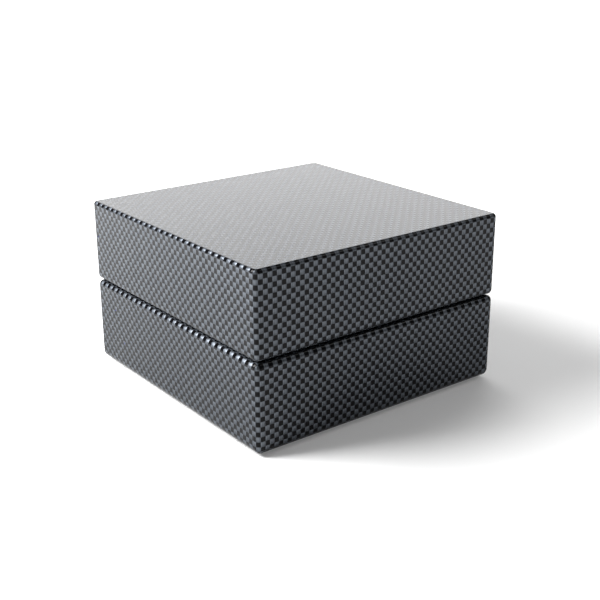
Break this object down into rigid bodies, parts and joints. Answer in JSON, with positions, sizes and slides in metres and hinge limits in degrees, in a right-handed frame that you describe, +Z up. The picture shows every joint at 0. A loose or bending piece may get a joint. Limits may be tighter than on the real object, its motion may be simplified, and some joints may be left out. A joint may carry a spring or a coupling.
{
  "type": "watch winder box",
  "caption": "Square lidded watch winder case with a check-weave wrap, a rear-hinged lid and, inside, a tilted motor-driven cup with a watch pillow.",
  "frame": {"origin": "on the ground under the middle of the case, at the underside of its feet", "axes": "+Z up, -Y the front that opens, +Y the hinged rear, +X to the right seen from the front"},
  "size_m": [0.18, 0.18, 0.108],
  "materials": {
    "check_wrap": "glossy printed check weave wrap over board",
    "suede": "short nap suede cloth over board",
    "cushion": "soft grained faux leather over foam",
    "board": "dark felt-faced fibreboard",
    "block_wood": "raw pine",
    "soft_rubber": "matte",
    "bright_metal": "polished nickel plate",
    "steel": "satin",
    "zinc_sheet": "zinc plated sheet",
    "bronze": "sintered bronze",
    "brass": "plain brass",
    "gear_plastic": "natural acetal",
    "cup_plastic": "gloss black",
    "black_plastic": "matte black",
    "circuit_board": "green solder mask",
    "control_metal": "brushed anodised",
    "pointer_white": "white inlay",
    "led_lens": "frosted clear"
  },
  "bodies": {
    "case": {"base_shell": "check_wrap", "floor_panel": "board", "corner_blocks": "block_wood", "floor_screws": "steel", "feet": "soft_rubber", "base_lining": "suede", "rim_bumpers": "soft_rubber", "base_magnets": "bright_metal", "deck_panel": "suede", "deck_cheeks": "suede", "deck_front_rail": "suede", "deck_rear_board": "suede", "deck_bezel": "bright_metal", "chassis": "zinc_sheet", "chassis_screws": "steel", "bearing_housing": "zinc_sheet", "bearing_bushes": "bronze", "motor_can": "zinc_sheet", "motor_plate": "zinc_sheet", "motor_terminal": "gear_plastic", "motor_screws": "steel", "control_board": "circuit_board", "board_standoffs": "brass", "board_parts": "black_plastic", "rotary_switch": "black_plastic", "slide_switch": "zinc_sheet", "button_switch": "black_plastic", "status_led": "led_lens", "control_plate": "control_metal", "dc_jack": "black_plastic", "jack_nut": "bright_metal", "internal_leads": "soft_rubber", "base_hinge_left": "bright_metal", "base_hinge_right": "bright_metal", "base_hinge_screws": "steel", "hinge_pin_left": "bright_metal", "hinge_pin_right": "bright_metal"},
    "lid": {"lid_shell": "check_wrap", "lid_lining": "suede", "lid_pad": "cushion", "lid_magnets": "bright_metal", "lid_hinge_left": "bright_metal", "lid_hinge_right": "bright_metal", "lid_hinge_screws": "steel"},
    "rotor": {"rotor_cup": "cup_plastic", "cup_rim": "bright_metal", "cup_lining": "suede", "rotor_shaft": "steel", "rotor_gear": "gear_plastic", "retaining_clip": "bright_metal", "rotor_screws": "steel", "pillow_core": "cup_plastic", "pillow_cushion": "cushion"},
    "pinion": {"motor_shaft": "steel", "drive_pinion": "gear_plastic"},
    "knob": {"mode_knob": "control_metal", "knob_pointer": "pointer_white", "knob_shaft": "steel"},
    "slider": {"direction_slider": "cup_plastic"},
    "button": {"power_button": "control_metal"}
  },
  "joints": [
    {"name": "lid_hinge", "type": "hinge", "parent": "case", "child": "lid", "pos_m": [0, 0.088, 0.05574], "axis": [-1, 0, 0], "range_deg": [0, 95]},
    {"name": "rotor_spin", "type": "hinge", "parent": "case", "child": "rotor", "pos_m": [0, 0.002, 0.029], "axis": [0, -0.342, 0.9397], "continuous": true},
    {"name": "pinion_spin", "type": "hinge", "parent": "case", "child": "pinion", "pos_m": [0, 0.03132, 0.03967], "axis": [0, -0.342, 0.9397], "continuous": true},
    {"name": "knob_turn", "type": "hinge", "parent": "case", "child": "knob", "pos_m": [-0.04, -0.06567, 0.02778], "axis": [0, -0.342, 0.9397], "range_deg": [-60, 60]},
    {"name": "slider_slide", "type": "slide", "parent": "case", "child": "slider", "axis": [1, 0, 0], "range_m": [-0.003, 0.003]},
    {"name": "button_press", "type": "slide", "parent": "case", "child": "button", "axis": [0, 0.342, -0.9397], "range_m": [0, 0.0015], "stiffness_N_per_m": 400}
  ],
  "couplings": [
    {"joint": "pinion_spin", "follows": "rotor_spin", "ratio": -3.3333}
  ]
}
